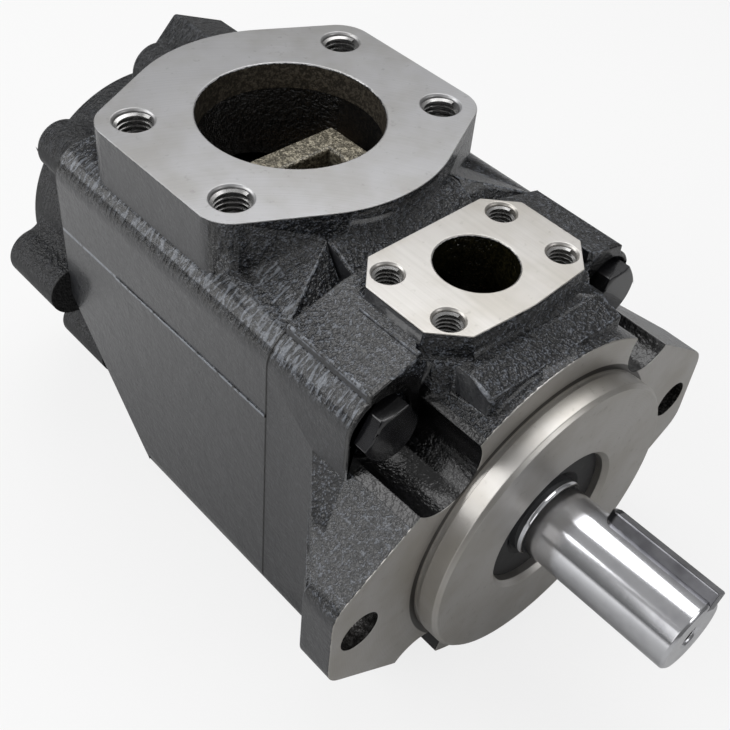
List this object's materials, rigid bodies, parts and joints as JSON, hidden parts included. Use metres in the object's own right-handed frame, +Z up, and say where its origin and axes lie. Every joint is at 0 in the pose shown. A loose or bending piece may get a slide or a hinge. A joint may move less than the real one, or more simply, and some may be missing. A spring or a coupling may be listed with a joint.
{
  "type": "hydraulic vane pump",
  "caption": "Double hydraulic vane pump with a flanged cast body, a large suction port on top, pressure ports at front and rear, and a keyed drive shaft.",
  "frame": {"origin": "centre of the pilot on the mounting face, on the shaft axis", "axes": "+Y along the shaft from the mounting face into the pump, so the shaft end points to -Y; +Z up, where the suction port and the front pressure port look; +X to the side of the rear pressure port"},
  "size_m": [0.208, 0.35, 0.174],
  "materials": {
    "painted_iron": "semi-gloss black paint over coarse casting grain, with bare machined port and mounting faces",
    "black_steel": "gloss black oiled",
    "ground_steel": "ground, bright",
    "key_steel": "cold drawn",
    "spring_steel": "phosphated",
    "bearing_steel": "polished",
    "cage_brass": "machined",
    "bush_bronze": "machined",
    "plate_bronze": "lapped, with a thin bronze face",
    "hard_steel": "hardened and ground",
    "vane_steel": "lapped",
    "seal_rubber": "matt black"
  },
  "bodies": {
    "casing": {"front_cap": "painted_iron", "centre_housing": "painted_iron", "rear_cap": "painted_iron", "front_cap_bolts": "black_steel", "rear_cap_screws": "black_steel", "front_cap_seal": "seal_rubber", "rear_cap_seal": "seal_rubber", "shaft_seal": "seal_rubber", "seal_spring": "spring_steel", "bearing_outer_ring": "bearing_steel", "bearing_retaining_ring": "spring_steel", "rear_bush": "bush_bronze", "front_cam_ring": "hard_steel", "front_port_plate": "plate_bronze", "front_side_plate": "plate_bronze", "front_port_plate_seals": "seal_rubber", "front_dowel_pins": "hard_steel", "front_cartridge_screws": "black_steel", "rear_cam_ring": "hard_steel", "rear_port_plate": "plate_bronze", "rear_side_plate": "plate_bronze", "rear_port_plate_seals": "seal_rubber", "rear_dowel_pins": "hard_steel", "rear_cartridge_screws": "black_steel"},
    "shaft_line": {"drive_shaft": "ground_steel", "shaft_key": "key_steel", "bearing_inner_ring": "bearing_steel", "shaft_retaining_ring": "spring_steel", "front_rotor": "hard_steel", "rear_rotor": "hard_steel"},
    "bearing_cage": {"bearing_cage": "cage_brass", "bearing_balls": "bearing_steel"},
    "front_vane_01": {"front_vane_01": "vane_steel"},
    "front_vane_02": {"front_vane_02": "vane_steel"},
    "front_vane_03": {"front_vane_03": "vane_steel"},
    "front_vane_04": {"front_vane_04": "vane_steel"},
    "front_vane_05": {"front_vane_05": "vane_steel"},
    "front_vane_06": {"front_vane_06": "vane_steel"},
    "front_vane_07": {"front_vane_07": "vane_steel"},
    "front_vane_08": {"front_vane_08": "vane_steel"},
    "front_vane_09": {"front_vane_09": "vane_steel"},
    "front_vane_10": {"front_vane_10": "vane_steel"},
    "rear_vane_01": {"rear_vane_01": "vane_steel"},
    "rear_vane_02": {"rear_vane_02": "vane_steel"},
    "rear_vane_03": {"rear_vane_03": "vane_steel"},
    "rear_vane_04": {"rear_vane_04": "vane_steel"},
    "rear_vane_05": {"rear_vane_05": "vane_steel"},
    "rear_vane_06": {"rear_vane_06": "vane_steel"},
    "rear_vane_07": {"rear_vane_07": "vane_steel"},
    "rear_vane_08": {"rear_vane_08": "vane_steel"},
    "rear_vane_09": {"rear_vane_09": "vane_steel"},
    "rear_vane_10": {"rear_vane_10": "vane_steel"}
  },
  "joints": [
    {"name": "shaft_spin", "type": "hinge", "parent": "casing", "child": "shaft_line", "pos_m": [0, 0, 0], "axis": [0, 1, 0], "continuous": true},
    {"name": "bearing_cage_spin", "type": "hinge", "parent": "casing", "child": "bearing_cage", "pos_m": [0, 0, 0], "axis": [0, 1, 0], "continuous": true},
    {"name": "front_vane_01_slide", "type": "slide", "parent": "shaft_line", "child": "front_vane_01", "axis": [0.9511, 0, 0.309], "range_m": [0, 0.00046]},
    {"name": "front_vane_02_slide", "type": "slide", "parent": "shaft_line", "child": "front_vane_02", "axis": [0.5878, 0, 0.809], "range_m": [0, 0.00402]},
    {"name": "front_vane_03_slide", "type": "slide", "parent": "shaft_line", "child": "front_vane_03", "axis": [0, 0, 1], "range_m": [0, 0.00453]},
    {"name": "front_vane_04_slide", "type": "slide", "parent": "shaft_line", "child": "front_vane_04", "axis": [-0.5878, 0, 0.809], "range_m": [0, 0.00402]},
    {"name": "front_vane_05_slide", "type": "slide", "parent": "shaft_line", "child": "front_vane_05", "axis": [-0.9511, 0, 0.309], "range_m": [0, 0.00046]},
    {"name": "front_vane_06_slide", "type": "slide", "parent": "shaft_line", "child": "front_vane_06", "axis": [-0.9511, 0, -0.309], "range_m": [0, 0.00046]},
    {"name": "front_vane_07_slide", "type": "slide", "parent": "shaft_line", "child": "front_vane_07", "axis": [-0.5878, 0, -0.809], "range_m": [0, 0.00402]},
    {"name": "front_vane_08_slide", "type": "slide", "parent": "shaft_line", "child": "front_vane_08", "axis": [0, 0, -1], "range_m": [0, 0.00453]},
    {"name": "front_vane_09_slide", "type": "slide", "parent": "shaft_line", "child": "front_vane_09", "axis": [0.5878, 0, -0.809], "range_m": [0, 0.00402]},
    {"name": "front_vane_10_slide", "type": "slide", "parent": "shaft_line", "child": "front_vane_10", "axis": [0.9511, 0, -0.309], "range_m": [0, 0.00046]},
    {"name": "rear_vane_01_slide", "type": "slide", "parent": "shaft_line", "child": "rear_vane_01", "axis": [0.9511, 0, 0.309], "range_m": [0, 0.00035]},
    {"name": "rear_vane_02_slide", "type": "slide", "parent": "shaft_line", "child": "rear_vane_02", "axis": [0.5878, 0, 0.809], "range_m": [0, 0.00313]},
    {"name": "rear_vane_03_slide", "type": "slide", "parent": "shaft_line", "child": "rear_vane_03", "axis": [0, 0, 1], "range_m": [0, 0.00353]},
    {"name": "rear_vane_04_slide", "type": "slide", "parent": "shaft_line", "child": "rear_vane_04", "axis": [-0.5878, 0, 0.809], "range_m": [0, 0.00313]},
    {"name": "rear_vane_05_slide", "type": "slide", "parent": "shaft_line", "child": "rear_vane_05", "axis": [-0.9511, 0, 0.309], "range_m": [0, 0.00035]},
    {"name": "rear_vane_06_slide", "type": "slide", "parent": "shaft_line", "child": "rear_vane_06", "axis": [-0.9511, 0, -0.309], "range_m": [0, 0.00035]},
    {"name": "rear_vane_07_slide", "type": "slide", "parent": "shaft_line", "child": "rear_vane_07", "axis": [-0.5878, 0, -0.809], "range_m": [0, 0.00313]},
    {"name": "rear_vane_08_slide", "type": "slide", "parent": "shaft_line", "child": "rear_vane_08", "axis": [0, 0, -1], "range_m": [0, 0.00353]},
    {"name": "rear_vane_09_slide", "type": "slide", "parent": "shaft_line", "child": "rear_vane_09", "axis": [0.5878, 0, -0.809], "range_m": [0, 0.00313]},
    {"name": "rear_vane_10_slide", "type": "slide", "parent": "shaft_line", "child": "rear_vane_10", "axis": [0.9511, 0, -0.309], "range_m": [0, 0.00035]}
  ],
  "couplings": [
    {"joint": "bearing_cage_spin", "follows": "shaft_spin", "ratio": 0.41856}
  ]
}
